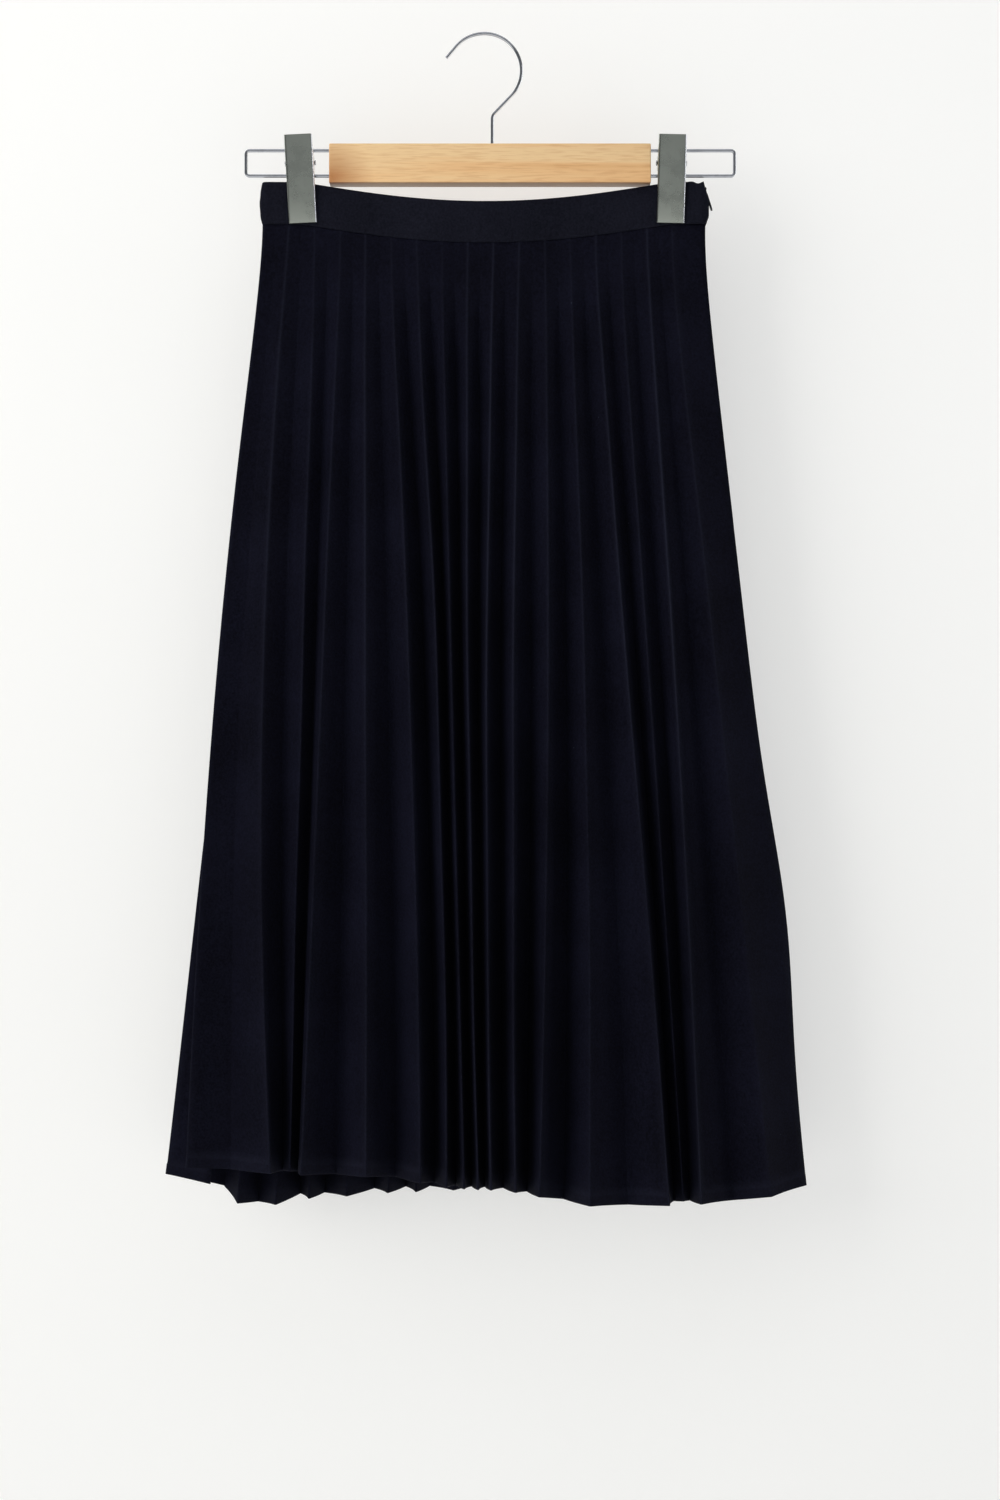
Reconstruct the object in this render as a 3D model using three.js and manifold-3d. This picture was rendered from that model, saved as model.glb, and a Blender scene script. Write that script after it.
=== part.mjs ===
// A fan-pleated midi skirt that hangs by its waistband from a wooden clip hanger.
// Units are millimetres. +Z is up, -Y is the front and +X is the side with the zip.
// The origin is the inside top of the hook, where a rail carries the hanger.
import * as THREE from 'three';
import { mergeVertices } from 'three/addons/utils/BufferGeometryUtils.js';
import Module from 'manifold-3d';

const wasm = await Module();
wasm.setup();

// ---------------------------------------------------------------- driving dimensions

const GAP = 0.3; // between pieces that touch

// Hook and wire loops
const WIRE_RADIUS = 1.3;
const HOOK_RADIUS = 27.4; // centre line of the round part
const HOOK_FROM = -40; // degrees, where the round part starts
const HOOK_TO = 140; // degrees, where it runs into the straight tail
const HOOK_TAIL = 11;
const STEM_X = 5.8;
const STEM_BEND_Z = -59;
const LOOP_HIGH_Z = -85.4; // centre lines of the two runs of a wire loop
const LOOP_LOW_Z = -104.2;
const LOOP_CORNER = 2.8;
const LOOP_LEFT_X = -176.4; // centre line of a loop's upright end
const LOOP_RIGHT_X = 185.2;

// Wooden bar
const BAR = { left: -114.6, right: 122.8, top: -81.7, bottom: -110.8, depth: 13 };
const BAR_HOLE_DEPTH = 13;

// Clips
const CLIP_PIVOT_Z = (LOOP_HIGH_Z + LOOP_LOW_Z) / 2;
const CLIP = { width: 20.8, above: 18.8, below: 45.2, sheet: 1, rim: 2.35, corner: 1.7 };
const CLIP_LEFT = { x: -136.2, lean: 2.8 };
const CLIP_RIGHT = { x: 138.4, lean: -1.2 };
const JAW_FOOT_Y = 5.1; // outer face of a jaw at its foot
const JAW_HEAD_Y = 11.2; // outer face of a jaw at its head
const BACK_JAW_NARROWER = 2.8;
const PIN_RADIUS = 1.2;
const SPRING = { radius: 3, wire: 0.5, turns: 3.5, half: 4 };

// Waistband
const BAND_THICK = 2.2;
const BAND_LEFT_X = -165.4; // outside of the plain fold
const BAND_TOP_Z = -109;
const BAND_SAG = 15.2; // how far the band dips between the clips
const BAND_HEIGHT = 31.4;
const BAND_PINCH = 1.45; // centre of the band's wall from the middle plane, at a clip
const BAND_BULGE = 4.4; // and how much further out it stands midway between the clips
const BAND_FOLD_RADIUS = 1.8;

// Pleated panels
const CLOTH = 1;
const FOLD_FLAT = 1.4; // width of the blunt top of a pressed fold
const FACE_AT_WAIST = 10.2; // one pleat face, from ridge to valley
const FACE_AT_HEM = 35;
const HALF_DEPTH_WAIST = 2.6;
const HALF_DEPTH_HEM = 40; // ridges from the middle plane at the hem
const DEPTH_POWER = 0.8;
const INNER_WAIST = 1.05; // nearest that a valley comes to the middle plane
const INNER_HEM = 8.9;
const SIDE_POWER = 4; // how squarely the ridge line turns in at the sides
const WAIST_RIDGE_FIRST = -163.4;
const WAIST_RIDGE_LAST = 139;
const EDGE_RIGHT_WAIST = 163.4;
const EDGE_RIGHT_HEM = 238;
const EDGE_BELLY = 6.5; // outward curve of the right edge, at three quarters of its height
const HIP = 0.066; // how much later the pleats begin to fan out, as a share of the height
const SEAM_LEFT_WAIST = -158;
const SEAM_LEFT_HEM = -203;
const SIDE_LEFT_HEM = -238;
const LEVELS = [0, 0.05, 0.13, 0.25, 0.4, 0.55, 0.7, 0.85, 1];

// Ridges of the front and the back at the hem, left to right. tuck is how far a ridge is drawn
// in behind its neighbours, and bow how far its line curves sideways between waist and hem.
const FRONT_RIDGES = [
  { hem: -217, bow: -9 },
  { hem: -155, bow: -13 },
  { hem: -142, tuck: 12 },
  { hem: -132 },
  { hem: -85 },
  { hem: -46, bow: 4 },
  { hem: -27, bow: 5 },
  { hem: -14.5 },
  { hem: -4.5, bow: -3 },
  { hem: 5, bow: -4 },
  { hem: 22.5, bow: -3 },
  { hem: 40, bow: 4 },
  { hem: 77, bow: 4 },
  { hem: 134 },
  { hem: 145, tuck: 13 },
  { hem: 157, bow: 3 },
  { hem: 209 },
];
const BACK_RIDGES = [
  { hem: -236, bow: 1.5 },
  { hem: -196 },
  { hem: -171 },
  { hem: -140, bow: -4 },
  { hem: -122 },
  { hem: -84 },
  { hem: -60, bow: 4 },
  { hem: -42 },
  { hem: -4 },
  { hem: 13, bow: -4 },
  { hem: 31 },
  { hem: 72 },
  { hem: 90, bow: 5 },
  { hem: 110 },
  { hem: 152, bow: -4 },
  { hem: 172 },
  { hem: 212 },
];

// Height of the hem along x.
const FRONT_HEM = [[-240, -842], [-216, -834], [-90, -837], [0, -846.5], [90, -859], [180, -857.5], [240, -851]];
const BACK_HEM = [[-240, -844], [-205, -850], [-185, -868], [-165, -871], [-138, -865], [-50, -860], [60, -853], [240, -850]];

// Zip
const ZIP_TOP_Z = -118.4;
const ZIP_FOOT_Z = -330;
const ZIP_TAPE = { width: 10, thick: 1, inset: 1.2 };
const SLIDER = { inner: 156.8, outer: 161.3, half: 2, top: -110.3, foot: -117.5 };
const PULL = { x: 163, z: -113.8, length: 17, width: 4.8, thick: 1.1, lean: 18 };
const PULL_BAR = 0.55;
const PULL_EYE = { inner: 0.85, outer: 1.35, half: 1 };

// ---------------------------------------------------------------- materials

function material(name, colour, roughness, metalness) {
  const made = new THREE.MeshStandardMaterial({ color: colour, roughness, metalness });
  made.name = name;
  return made;
}

const finishes = {
  cloth: () => material('navy crepe', 0x10121f, 0.9, 0),
  tape: () => material('navy zip tape', 0x0d0f19, 0.8, 0),
  zip: () => material('black enamelled zinc', 0x1b1d24, 0.35, 0.7),
  wood: () => material('pale beech', 0xe0b184, 0.55, 0),
  wire: () => material('chromed wire', 0xc9ccd2, 0.12, 1),
  clip: () => material('nickelled sheet steel', 0x8b918a, 0.3, 1),
};

// ---------------------------------------------------------------- general shapes

const lerp = THREE.MathUtils.lerp;
const rad = THREE.MathUtils.degToRad;

function alongTable(table, x) {
  const last = table.length - 1;
  if (x <= table[0][0]) return table[0][1];
  if (x >= table[last][0]) return table[last][1];
  const i = table.findIndex((entry) => entry[0] >= x);
  const [x0, z0] = table[i - 1];
  const [x1, z1] = table[i];
  const share = THREE.MathUtils.smoothstep(x, x0, x1);
  return lerp(z0, z1, share);
}

function closedGeometry(positions, indices) {
  let volume = 0;
  const corner = (i) => new THREE.Vector3().fromArray(positions, 3 * i);
  for (let i = 0; i < indices.length; i += 3) {
    const [a, b, c] = [corner(indices[i]), corner(indices[i + 1]), corner(indices[i + 2])];
    volume += a.dot(b.cross(c));
  }
  const facing = volume > 0 ? indices : indices.slice().reverse();
  const geometry = new THREE.BufferGeometry();
  geometry.setAttribute('position', new THREE.Float32BufferAttribute(positions, 3));
  geometry.setIndex(facing);
  geometry.computeVertexNormals();
  return geometry;
}

// Points of a line in plan, moved sideways by the given distance, with mitred corners.
function movedSideways(line, distance) {
  const normal = (a, b) => new THREE.Vector2(a.y - b.y, b.x - a.x).normalize();
  return line.map((point, i) => {
    const before = i > 0 ? normal(line[i - 1], point) : normal(point, line[i + 1]);
    const after = i < line.length - 1 ? normal(point, line[i + 1]) : before;
    const middle = before.clone().add(after).normalize();
    const reach = distance / Math.max(0.4, middle.dot(before));
    return new THREE.Vector3(point.x + middle.x * reach, point.y + middle.y * reach, point.z);
  });
}

// A wall of even thickness through centre lines that lie one below the other.
function wall(lines, thickness) {
  const count = lines[0].length;
  const levels = lines.length;
  const positions = [];
  for (const side of [-thickness / 2, thickness / 2]) {
    for (const line of lines) {
      for (const point of movedSideways(line, side)) positions.push(point.x, point.y, point.z);
    }
  }
  const at = (side, level, i) => (side * levels + level) * count + i;
  const indices = [];
  const quad = (a, b, c, d) => indices.push(a, b, c, a, c, d);
  for (let level = 0; level < levels - 1; level += 1) {
    for (let i = 0; i < count - 1; i += 1) {
      quad(at(0, level, i), at(0, level + 1, i), at(0, level + 1, i + 1), at(0, level, i + 1));
      const [a, b] = [at(1, level, i), at(1, level, i + 1)];
      const [c, d] = [at(1, level + 1, i + 1), at(1, level + 1, i)];
      indices.push(a, c, d, a, b, c);
    }
    quad(at(0, level, 0), at(1, level, 0), at(1, level + 1, 0), at(0, level + 1, 0));
    const end = count - 1;
    quad(at(1, level, end), at(0, level, end), at(0, level + 1, end), at(1, level + 1, end));
  }
  for (let i = 0; i < count - 1; i += 1) {
    quad(at(0, 0, i), at(0, 0, i + 1), at(1, 0, i + 1), at(1, 0, i));
    const foot = levels - 1;
    quad(at(1, foot, i), at(1, foot, i + 1), at(0, foot, i + 1), at(0, foot, i));
  }
  return closedGeometry(positions, indices);
}

// A path straight from point to point, so that a swept wire has a ring at each of them.
class WirePath extends THREE.Curve {
  constructor(points) {
    super();
    this.points = points;
  }

  getPoint(t) {
    const place = t * (this.points.length - 1);
    const i = Math.min(Math.floor(place + 1e-9), this.points.length - 2);
    return this.points[i].clone().lerp(this.points[i + 1], place - i);
  }

  getPointAt(t) {
    return this.getPoint(t);
  }

  getTangentAt(t) {
    const last = this.points.length - 1;
    const i = Math.round(t * last);
    const direction = new THREE.Vector3();
    for (const j of [i - 1, i]) {
      if (j < 0 || j >= last) continue;
      direction.add(this.points[j + 1].clone().sub(this.points[j]).normalize());
    }
    return direction.normalize();
  }
}

function wire(points, radius, sides = 8) {
  const section = new THREE.Shape();
  for (let i = 0; i < sides; i += 1) {
    const angle = (2 * Math.PI * i) / sides;
    const method = i === 0 ? 'moveTo' : 'lineTo';
    section[method](radius * Math.cos(angle), radius * Math.sin(angle));
  }
  const extrudePath = new WirePath(points);
  return new THREE.ExtrudeGeometry(section, { steps: points.length - 1, extrudePath });
}

function arcPoints(centreX, centreZ, radius, from, to, steps) {
  return Array.from({ length: steps + 1 }, (_, i) => {
    const angle = rad(lerp(from, to, i / steps));
    return new THREE.Vector3(centreX + radius * Math.cos(angle), 0, centreZ + radius * Math.sin(angle));
  });
}

function toSolid(geometry) {
  const bare = geometry.clone();
  bare.deleteAttribute('normal');
  bare.deleteAttribute('uv');
  const merged = mergeVertices(bare, 1e-4);
  const vertProperties = new Float32Array(merged.attributes.position.array);
  const triVerts = new Uint32Array(merged.index.array);
  return new wasm.Manifold(new wasm.Mesh({ numProp: 3, vertProperties, triVerts }));
}

function fromSolid(solid) {
  const { vertProperties, triVerts } = solid.getMesh();
  const geometry = new THREE.BufferGeometry();
  geometry.setAttribute('position', new THREE.Float32BufferAttribute(vertProperties, 3));
  geometry.setIndex(new THREE.Uint32BufferAttribute(triVerts, 1));
  geometry.computeVertexNormals();
  return geometry;
}

function joined(first, ...others) {
  return others.reduce((sum, other) => sum.add(toSolid(other)), toSolid(first));
}

function boxBetween(low, high) {
  const size = high.map((value, i) => value - low[i]);
  const middle = high.map((value, i) => (value + low[i]) / 2);
  return new THREE.BoxGeometry(...size).translate(...middle);
}

function rodAlong(axis, radius, from, to, sides = 16) {
  const rod = new THREE.CylinderGeometry(radius, radius, to - from, sides);
  if (axis === 'x') return rod.rotateZ(-Math.PI / 2).translate((from + to) / 2, 0, 0);
  if (axis === 'y') return rod.translate(0, (from + to) / 2, 0);
  return rod.rotateX(Math.PI / 2).translate(0, 0, (from + to) / 2);
}

// ---------------------------------------------------------------- hanger

function hook() {
  const centreZ = WIRE_RADIUS - HOOK_RADIUS;
  const round = arcPoints(0, centreZ, HOOK_RADIUS, HOOK_FROM, HOOK_TO, 22);
  const tail = new THREE.Vector3(Math.cos(rad(HOOK_TO + 90)), 0, Math.sin(rad(HOOK_TO + 90)));
  const tip = round[round.length - 1].clone().addScaledVector(tail, HOOK_TAIL);
  const foot = new THREE.Vector3(STEM_X, 0, BAR.top - BAR_HOLE_DEPTH + GAP);
  const bendCentreX = STEM_X + 6;
  const bend = arcPoints(bendCentreX, STEM_BEND_Z - 3, 6, 180, 138, 3);
  return wire([foot, ...bend, ...round, tip], WIRE_RADIUS);
}

function wireLoop(endX, barEndX) {
  const out = Math.sign(endX);
  const inside = barEndX - out * (BAR_HOLE_DEPTH - GAP);
  const cornerX = endX - out * LOOP_CORNER;
  const [from, to] = out > 0 ? [90, 0] : [90, 180];
  const high = arcPoints(cornerX, LOOP_HIGH_Z - LOOP_CORNER, LOOP_CORNER, from, to, 4);
  const low = arcPoints(cornerX, LOOP_LOW_Z + LOOP_CORNER, LOOP_CORNER, -to, -from, 4);
  const start = new THREE.Vector3(inside, 0, LOOP_HIGH_Z);
  const end = new THREE.Vector3(inside, 0, LOOP_LOW_Z);
  return wire([start, ...high, ...low, end], WIRE_RADIUS);
}

function woodenBar() {
  const half = BAR.depth / 2;
  let bar = toSolid(boxBetween([BAR.left, -half, BAR.bottom], [BAR.right, half, BAR.top]));
  const hole = WIRE_RADIUS + GAP;
  const drill = (rod) => {
    bar = bar.subtract(toSolid(rod));
  };
  drill(rodAlong('z', hole, BAR.top - BAR_HOLE_DEPTH, BAR.top + 5).translate(STEM_X, 0, 0));
  for (const z of [LOOP_HIGH_Z, LOOP_LOW_Z]) {
    drill(rodAlong('x', hole, BAR.left - 5, BAR.left + BAR_HOLE_DEPTH).translate(0, 0, z));
    drill(rodAlong('x', hole, BAR.right - BAR_HOLE_DEPTH, BAR.right + 5).translate(0, 0, z));
  }
  return fromSolid(bar);
}

// Plan of a jaw: a shallow channel with round bends, open towards +Y, its outer face on y = 0.
function channelSection(width) {
  const { sheet, rim, corner } = CLIP;
  const half = width / 2;
  const inner = corner - sheet;
  const shape = new THREE.Shape();
  shape.moveTo(-half, rim);
  shape.lineTo(-half, corner);
  shape.absarc(-half + corner, corner, corner, Math.PI, 1.5 * Math.PI, false);
  shape.lineTo(half - corner, 0);
  shape.absarc(half - corner, corner, corner, 1.5 * Math.PI, 2 * Math.PI, false);
  shape.lineTo(half, rim);
  shape.lineTo(half - sheet, rim);
  shape.lineTo(half - sheet, corner);
  shape.absarc(half - corner, corner, inner, 0, -0.5 * Math.PI, true);
  shape.lineTo(-half + corner, sheet);
  shape.absarc(-half + corner, corner, inner, 1.5 * Math.PI, Math.PI, true);
  shape.lineTo(-half + sheet, rim);
  return shape;
}

// A front jaw about the clip's pivot. The channel leans so that its foot meets the waistband.
function jawSolid(width) {
  const { above, below, sheet } = CLIP;
  const height = above + below;
  const slant = Math.atan((JAW_HEAD_Y - JAW_FOOT_Y) / height);
  const channel = new THREE.ExtrudeGeometry(channelSection(width), {
    depth: height,
    bevelEnabled: false,
    curveSegments: 4,
  });
  channel.rotateX(slant).translate(0, -JAW_FOOT_Y, -below);
  const half = width / 2;
  const bandFace = BAND_PINCH + BAND_THICK / 2 + GAP;
  const lip = boxBetween([-half + 1.2, -JAW_FOOT_Y + 0.2, -below], [half - 1.2, -bandFace, -below + sheet]);
  const webAt = (z) => -JAW_FOOT_Y - (z + below) * Math.tan(slant) + sheet / 2;
  const ear = new THREE.Shape();
  const outline = [[12, webAt(12)], [11, -2.4], [6, -2.4], [5, 3.2], [-5, 3.2], [-6, -2.4], [-11, -2.4]];
  outline.push([-13, webAt(-13)]);
  outline.forEach(([z, y], i) => (i === 0 ? ear.moveTo(z, y) : ear.lineTo(z, y)));
  ear.closePath();
  const ears = [-half, half - sheet].map((x) => {
    const plate = new THREE.ExtrudeGeometry(ear, { depth: sheet, bevelEnabled: false });
    const turn = new THREE.Matrix4().makeBasis(
      new THREE.Vector3(0, 0, 1),
      new THREE.Vector3(0, 1, 0),
      new THREE.Vector3(-1, 0, 0),
    );
    return plate.applyMatrix4(turn).translate(x + sheet, 0, 0);
  });
  const pinHole = rodAlong('x', PIN_RADIUS + GAP, -half - 3, half + 3);
  return joined(channel, lip, ...ears).subtract(toSolid(pinHole));
}

function frontJaw() {
  return fromSolid(jawSolid(CLIP.width));
}

function backJaw() {
  return fromSolid(jawSolid(CLIP.width - BACK_JAW_NARROWER)).rotateZ(Math.PI);
}

function pivotPin() {
  const headFrom = CLIP.width / 2 + GAP;
  const headTo = headFrom + 0.8;
  const profile = [[0, -headTo], [2, -headTo], [2, -headFrom], [PIN_RADIUS, -headFrom]];
  profile.push([PIN_RADIUS, headFrom], [2, headFrom], [2, headTo], [0, headTo]);
  const points = profile.map(([r, z]) => new THREE.Vector2(r, z));
  return new THREE.LatheGeometry(points, 12).rotateZ(-Math.PI / 2);
}

// A torsion spring round the pin, with one leg up to each jaw.
function spring() {
  const { radius, wire: thick, turns, half } = SPRING;
  const steps = turns * 10;
  const coil = Array.from({ length: steps + 1 }, (_, i) => {
    const angle = 2 * Math.PI * turns * (i / steps);
    return new THREE.Vector3(lerp(-half, half, i / steps), -radius * Math.cos(angle), radius * Math.sin(angle));
  });
  const first = new THREE.Vector3(-half, -7.2, 12);
  const last = new THREE.Vector3(half, 7.2, 12);
  return wire([first, ...coil, last], thick, 6);
}

// ---------------------------------------------------------------- waistband

function sagAt(x) {
  const share = THREE.MathUtils.clamp((x - CLIP_LEFT.x) / (CLIP_RIGHT.x - CLIP_LEFT.x), 0, 1);
  return Math.sin(Math.PI * share) ** 1.05;
}

const bandTopAt = (x) => BAND_TOP_Z - BAND_SAG * sagAt(x);
const seamAt = (x) => BAND_TOP_Z - BAND_HEIGHT - (BAND_SAG - 0.8) * sagAt(x);
const bandOutAt = (x) => BAND_PINCH + BAND_BULGE * sagAt(x) ** 2;

// Plan of the band beside the zip: a soft double wave, and its end at each of the band's levels.
const BAND_LEVELS = [
  { share: 0, endX: 161.7, endY: 3.6, foldOut: 0 },
  { share: 0.29, endX: 163.9, endY: 3.6, foldOut: 1.2 },
  { share: 0.5, endX: 165.4, endY: 2.1, foldOut: 1.8 },
  { share: 0.8, endX: 165.4, endY: 2.1, foldOut: 1.2 },
  { share: 1, endX: 163.6, endY: 2.1, foldOut: 0 },
];
const BAND_WAVE = [[160, 4.5], [157.8, 3.9], [155.6, 2.8], [152.6, 4.2], [150.4, 2.6], [148.8, BAND_PINCH]];

function bandLine({ share, endX, endY, foldOut }) {
  const centreX = BAND_LEFT_X + BAND_THICK / 2 + BAND_FOLD_RADIUS;
  const half = [[endX, endY], ...BAND_WAVE];
  const steps = 26;
  for (let i = 0; i <= steps; i += 1) {
    const x = lerp(CLIP_RIGHT.x, CLIP_LEFT.x, i / steps);
    half.push([x, bandOutAt(x)]);
  }
  half.push([-147.6, BAND_PINCH], [centreX, BAND_FOLD_RADIUS]);
  const front = half.map(([x, y]) => [x, -y]);
  const sideways = [
    [centreX - foldOut - BAND_FOLD_RADIUS * 0.7, -BAND_FOLD_RADIUS * 0.7],
    [centreX - foldOut - BAND_FOLD_RADIUS, 0],
    [centreX - foldOut - BAND_FOLD_RADIUS * 0.7, BAND_FOLD_RADIUS * 0.7],
  ];
  const back = half.slice().reverse();
  return [...front, ...sideways, ...back].map(([x, y]) => {
    const z = lerp(bandTopAt(x), seamAt(x), share);
    return new THREE.Vector3(x, y, z);
  });
}

function waistband() {
  return wall(BAND_LEVELS.map(bandLine), BAND_THICK);
}

// ---------------------------------------------------------------- pleated panels

const grow = (t) => t ** DEPTH_POWER;
const faceAt = (t) => lerp(FACE_AT_WAIST, FACE_AT_HEM, t);
const fanAt = (t) => t - HIP * (1 - Math.exp(-t / 0.05)) * (1 - t) ** 1.8;
const bellyAt = (t) => EDGE_BELLY * Math.exp(-(((t - 0.72) / 0.13) ** 2));
const edgeRightAt = (t) => lerp(EDGE_RIGHT_WAIST, EDGE_RIGHT_HEM, fanAt(t)) + bellyAt(t);
const sideLeftAt = (t) => lerp(BAND_LEFT_X, SIDE_LEFT_HEM, fanAt(t));
const innerAt = (t) => lerp(INNER_WAIST, INNER_HEM, grow(t));

// How far the ridge line stands from the middle plane.
function ridgeOutAt(x, t) {
  const side = x < 0 ? -sideLeftAt(t) : edgeRightAt(t);
  const share = Math.min(Math.abs(x) / side, 1);
  const turnIn = Math.sqrt(1 - share ** SIDE_POWER);
  const atWaist = bandOutAt(x) + HALF_DEPTH_WAIST - BAND_PINCH;
  return lerp(atWaist, Math.max(HALF_DEPTH_HEM * turnIn, atWaist), grow(t));
}

function spacedRidges(ridges) {
  const last = ridges.length - 1;
  return ridges.map((ridge, i) => ({
    tuck: 0,
    bow: 0,
    ...ridge,
    waist: lerp(WAIST_RIDGE_FIRST, WAIST_RIDGE_LAST, i / last),
  }));
}

// Centre line of a panel at the height share t, from the left seam to the right one.
function pleatLine(ridges, hem, side, t) {
  const heightAt = (waistX, hemX) => lerp(seamAt(waistX) - GAP, alongTable(hem, hemX), t);
  const line = [];
  const fold = (x, out, waistX, hemX) => {
    for (const aside of [-FOLD_FLAT / 2, FOLD_FLAT / 2]) {
      line.push(new THREE.Vector3(x + aside, side * out, heightAt(waistX + aside, hemX + aside)));
    }
  };
  const crests = ridges.map((ridge) => {
    const x = lerp(ridge.waist, ridge.hem, fanAt(t)) + ridge.bow * Math.sin(Math.PI * t);
    const out = ridgeOutAt(x, t) - ridge.tuck * t * t;
    return { x, out, waist: ridge.waist, hem: ridge.hem };
  });
  const seamOut = CLOTH / 2 + GAP / 2;
  const leftX = lerp(SEAM_LEFT_WAIST, SEAM_LEFT_HEM, fanAt(t));
  line.push(new THREE.Vector3(leftX, side * seamOut, heightAt(SEAM_LEFT_WAIST, SEAM_LEFT_HEM)));
  crests.forEach((crest, i) => {
    fold(crest.x, crest.out, crest.waist, crest.hem);
    const next = crests[i + 1];
    if (!next) return;
    const halfPitch = Math.hypot(next.x - crest.x, next.out - crest.out) / 2;
    const depth = Math.sqrt(Math.max(faceAt(t) ** 2 - halfPitch ** 2, 1)) * lerp(0.25, 1, Math.min(t / 0.05, 1));
    const out = Math.max((crest.out + next.out) / 2 - depth, innerAt(t));
    fold((crest.x + next.x) / 2, out, (crest.waist + next.waist) / 2, (crest.hem + next.hem) / 2);
  });
  const zipOut = t < 0.3 ? ZIP_TAPE.thick / 2 + CLOTH / 2 + GAP + 0.1 : seamOut;
  const rightZ = heightAt(EDGE_RIGHT_WAIST, EDGE_RIGHT_HEM);
  line.push(new THREE.Vector3(edgeRightAt(t), side * zipOut, rightZ));
  return line;
}

function panel(ridges, hem, side) {
  const spaced = spacedRidges(ridges);
  return wall(LEVELS.map((t) => pleatLine(spaced, hem, side, t)), CLOTH);
}

// ---------------------------------------------------------------- zip

// The two tapes, face to face in the middle plane, from below the slider to the zip's foot.
function zipTape() {
  const { width, thick, inset } = ZIP_TAPE;
  const hemZ = alongTable(FRONT_HEM, EDGE_RIGHT_HEM);
  const seamZ = seamAt(EDGE_RIGHT_WAIST);
  const edgeAt = (z) => edgeRightAt(Math.max((seamZ - z) / (seamZ - hemZ), 0)) - inset;
  const heights = [ZIP_TOP_Z, -150, -240, ZIP_FOOT_Z];
  const lines = heights.map((z) => {
    const outer = edgeAt(z);
    return [outer - width, outer].map((x) => new THREE.Vector3(x, 0, z));
  });
  return wall(lines, thick);
}

function zipSlider() {
  const { inner, outer, half, top, foot } = SLIDER;
  const body = new THREE.Shape();
  body.moveTo(-half, top - 1.2);
  body.lineTo(-half * 0.6, top);
  body.lineTo(half * 0.6, top);
  body.lineTo(half, top - 1.2);
  body.lineTo(half * 0.7, foot);
  body.lineTo(-half * 0.7, foot);
  body.closePath();
  const block = new THREE.ExtrudeGeometry(body, { depth: outer - inner, bevelEnabled: false });
  const turn = new THREE.Matrix4().makeBasis(
    new THREE.Vector3(0, 1, 0),
    new THREE.Vector3(0, 0, 1),
    new THREE.Vector3(1, 0, 0),
  );
  block.applyMatrix4(turn).translate(inner, 0, 0);
  const bar = rodAlong('y', PULL_BAR, -half, half, 12).translate(PULL.x, 0, PULL.z);
  const posts = [-half, half - 0.7].map((y) => (
    boxBetween([outer - 0.5, y, PULL.z - PULL_BAR], [PULL.x, y + 0.7, PULL.z + PULL_BAR])
  ));
  return fromSolid(joined(block, bar, ...posts));
}

// The pull tab about its own pivot, hanging straight down.
function pullTab() {
  const { length, width, thick } = PULL;
  const { inner, outer, half } = PULL_EYE;
  const neck = 3;
  const outline = new THREE.Shape();
  outline.moveTo(-half, -outer + 0.2);
  outline.lineTo(-half, -neck);
  outline.lineTo(-width / 2, -neck - 1.6);
  outline.lineTo(-width / 2, -length + width / 2);
  outline.absarc(0, -length + width / 2, width / 2, Math.PI, 2 * Math.PI, false);
  outline.lineTo(width / 2, -neck - 1.6);
  outline.lineTo(half, -neck);
  outline.lineTo(half, -outer + 0.2);
  outline.closePath();
  const plate = new THREE.ExtrudeGeometry(outline, { depth: thick, bevelEnabled: false, curveSegments: 6 });
  const turn = new THREE.Matrix4().makeBasis(
    new THREE.Vector3(0, 1, 0),
    new THREE.Vector3(0, 0, 1),
    new THREE.Vector3(1, 0, 0),
  );
  plate.applyMatrix4(turn).translate(-thick / 2, 0, 0);
  const eye = rodAlong('y', outer, -half, half, 16);
  const bore = rodAlong('y', inner, -half - 1, half + 1, 16);
  return fromSolid(joined(eye, plate).subtract(toSolid(bore)));
}

// ---------------------------------------------------------------- assembly

const skirt = new THREE.Group();

function place(parent, name, geometry, finish) {
  const mesh = new THREE.Mesh(geometry, finish());
  mesh.name = name;
  parent.add(mesh);
  return mesh;
}

place(skirt, 'hook', hook(), finishes.wire);
place(skirt, 'wooden_bar', woodenBar(), finishes.wood);
place(skirt, 'loop_left', wireLoop(LOOP_LEFT_X, BAR.left), finishes.wire);
place(skirt, 'loop_right', wireLoop(LOOP_RIGHT_X, BAR.right), finishes.wire);

for (const [side, { x, lean }] of [['left', CLIP_LEFT], ['right', CLIP_RIGHT]]) {
  const clip = new THREE.Group();
  clip.position.set(x, 0, CLIP_PIVOT_Z);
  clip.rotation.y = rad(-lean);
  place(clip, `front_jaw_${side}`, frontJaw(), finishes.clip);
  place(clip, `back_jaw_${side}`, backJaw(), finishes.clip);
  place(clip, `pivot_pin_${side}`, pivotPin(), finishes.wire);
  place(clip, `spring_${side}`, spring(), finishes.wire);
  skirt.add(clip);
}

place(skirt, 'waistband', waistband(), finishes.cloth);
place(skirt, 'front_panel', panel(FRONT_RIDGES, FRONT_HEM, -1), finishes.cloth);
place(skirt, 'back_panel', panel(BACK_RIDGES, BACK_HEM, 1), finishes.cloth);
place(skirt, 'zip_tape', zipTape(), finishes.tape);
place(skirt, 'zip_slider', zipSlider(), finishes.zip);

const pull = place(skirt, 'zip_pull', pullTab(), finishes.zip);
pull.position.set(PULL.x, 0, PULL.z);
pull.rotation.y = rad(-PULL.lean);

export default skirt;
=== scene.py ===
"""A fan-pleated midi skirt on a clip hanger: cloth, waistband, zip and hanger around a fixed frame.

The file is laid out as an add-on. Each operator makes one piece or one group of like pieces."""

import math
import random

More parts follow.
